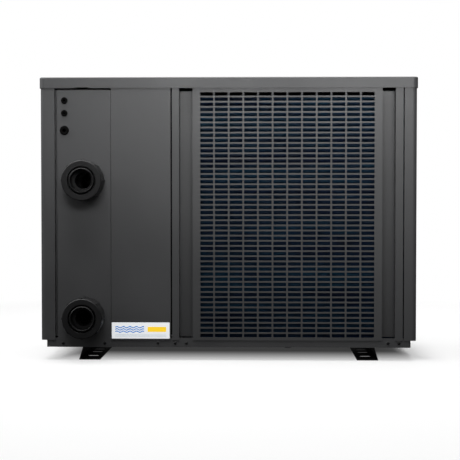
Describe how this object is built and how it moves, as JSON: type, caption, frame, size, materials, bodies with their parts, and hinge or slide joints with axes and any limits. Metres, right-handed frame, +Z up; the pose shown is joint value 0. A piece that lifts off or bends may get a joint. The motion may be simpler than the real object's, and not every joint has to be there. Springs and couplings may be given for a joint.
{
  "type": "pool heat pump unit",
  "caption": "Outdoor pool heat pump cabinet with a slotted air intake, two pipe unions, fan grille, controller and slotted foot rails.",
  "frame": {"origin": "on the floor, at the centre of the four outer foot slots", "axes": "+X along the cabinet, away from the water unions; -Y the face with the unions and the air intake, +Y the fan face; +Z up"},
  "size_m": [0.864, 0.4393, 0.648],
  "materials": {
    "casing": "textured dark grey powder coat",
    "foot_black": "black powder coat",
    "screw_black": "blackened steel",
    "screw_zinc": "zinc plated",
    "moulding_black": "fine-grained black moulding",
    "union_black": "satin black plastic",
    "label_white": "printed film",
    "rubber_black": "soft rubber",
    "fin_blue": "blue hydrophilic coating",
    "galvanised": "galvanised sheet",
    "copper": "drawn copper",
    "brass": "turned brass",
    "titanium": "drawn titanium",
    "compressor_black": "black enamel",
    "steel_core": "machined core",
    "water_pipe_grey": "grey pressure pipe",
    "board_green": "circuit board",
    "heat_sink_aluminium": "extruded",
    "motor_steel": "turned steel",
    "fan_plastic": "moulded glass-filled plastic",
    "guard_black": "dipped wire",
    "display_dark": "display lens",
    "cover_clear": "smoked clear plastic",
    "button_grey": "soft-touch keys",
    "handle_black": "textured black moulding"
  },
  "bodies": {
    "chassis": {"top_lid": "casing", "side_panel_left": "casing", "side_panel_right": "casing", "rear_pipe_panel": "casing", "rear_service_panel": "casing", "rear_grille_panel": "casing", "front_panel": "casing", "base_pan": "casing", "side_handles": "handle_black", "partition": "galvanised", "foot_rail_left": "foot_black", "foot_rail_right": "foot_black", "base_bolts": "screw_zinc", "panel_screws": "screw_black", "label_plate": "label_white", "cable_grommets": "rubber_black", "drain_spigot": "moulding_black", "union_seals": "rubber_black", "water_pipes": "water_pipe_grey", "flow_switch": "moulding_black", "exchanger_shell": "water_pipe_grey", "exchanger_caps": "water_pipe_grey", "titanium_coil": "titanium", "compressor_shell": "compressor_black", "compressor_mounts": "rubber_black", "compressor_stator": "steel_core", "compressor_pump": "steel_core", "accumulator": "compressor_black", "four_way_valve": "brass", "expansion_valve": "brass", "refrigerant_pipes": "copper", "evaporator_fins": "fin_blue", "evaporator_end_plates": "galvanised", "evaporator_tubes": "copper", "electrical_box": "galvanised", "electrical_cover": "galvanised", "inverter_board": "board_green", "heat_sink": "heat_sink_aluminium", "control_bezel": "moulding_black", "control_board": "board_green", "display_window": "display_dark", "fan_guard": "guard_black", "fan_motor": "motor_steel", "motor_bracket": "galvanised", "union_base_low": "union_black", "union_base_high": "union_black"},
    "fan": {"fan_shaft": "motor_steel", "fan_blade": "fan_plastic", "hub_nut": "screw_zinc"},
    "compressor_rotor": {"compressor_rotor": "steel_core"},
    "flow_paddle": {"flow_paddle": "water_pipe_grey"},
    "control_cover": {"control_cover": "cover_clear"},
    "union_tail_low": {"union_tail_low": "union_black"},
    "union_nut_low": {"union_nut_low": "union_black"},
    "union_tail_high": {"union_tail_high": "union_black"},
    "union_nut_high": {"union_nut_high": "union_black"},
    "button_power": {"button_power": "button_grey"},
    "button_mode": {"button_mode": "button_grey"},
    "button_down": {"button_down": "button_grey"},
    "button_up": {"button_up": "button_grey"}
  },
  "joints": [
    {"name": "fan_spin", "type": "hinge", "parent": "chassis", "child": "fan", "pos_m": [0.14, 0.124, 0.335], "axis": [0, 1, 0], "continuous": true},
    {"name": "compressor_spin", "type": "hinge", "parent": "chassis", "child": "compressor_rotor", "pos_m": [-0.2, 0.058, 0.19], "axis": [0, 0, 1], "continuous": true},
    {"name": "union_slide_low", "type": "slide", "parent": "chassis", "child": "union_tail_low", "axis": [0, -1, 0], "range_m": [0, 0.0185]},
    {"name": "nut_turn_low", "type": "hinge", "parent": "union_tail_low", "child": "union_nut_low", "pos_m": [-0.3266, -0.22, 0.1015], "axis": [0, -1, 0], "range_deg": [0, 1080]},
    {"name": "union_slide_high", "type": "slide", "parent": "chassis", "child": "union_tail_high", "axis": [0, -1, 0], "range_m": [0, 0.0185]},
    {"name": "nut_turn_high", "type": "hinge", "parent": "union_tail_high", "child": "union_nut_high", "pos_m": [-0.3266, -0.22, 0.412], "axis": [0, -1, 0], "range_deg": [0, 1080]},
    {"name": "paddle_swing", "type": "hinge", "parent": "chassis", "child": "flow_paddle", "pos_m": [-0.3046, -0.128, 0.412], "axis": [0, 0, 1], "range_deg": [0, 18], "stiffness_Nm_per_rad": 0.01},
    {"name": "cover_flip", "type": "hinge", "parent": "chassis", "child": "control_cover", "pos_m": [-0.262, 0.1889, 0.546], "axis": [1, 0, 0], "range_deg": [0, 110]},
    {"name": "press_power", "type": "slide", "parent": "chassis", "child": "button_power", "axis": [0, -1, 0], "range_m": [0, 0.0011], "stiffness_N_per_m": 600},
    {"name": "press_mode", "type": "slide", "parent": "chassis", "child": "button_mode", "axis": [0, -1, 0], "range_m": [0, 0.0011], "stiffness_N_per_m": 600},
    {"name": "press_down", "type": "slide", "parent": "chassis", "child": "button_down", "axis": [0, -1, 0], "range_m": [0, 0.0011], "stiffness_N_per_m": 600},
    {"name": "press_up", "type": "slide", "parent": "chassis", "child": "button_up", "axis": [0, -1, 0], "range_m": [0, 0.0011], "stiffness_N_per_m": 600}
  ],
  "couplings": [
    {"joint": "union_slide_low", "follows": "nut_turn_low", "m_per_rad": 0.00095493},
    {"joint": "union_slide_high", "follows": "nut_turn_high", "m_per_rad": 0.00095493}
  ]
}
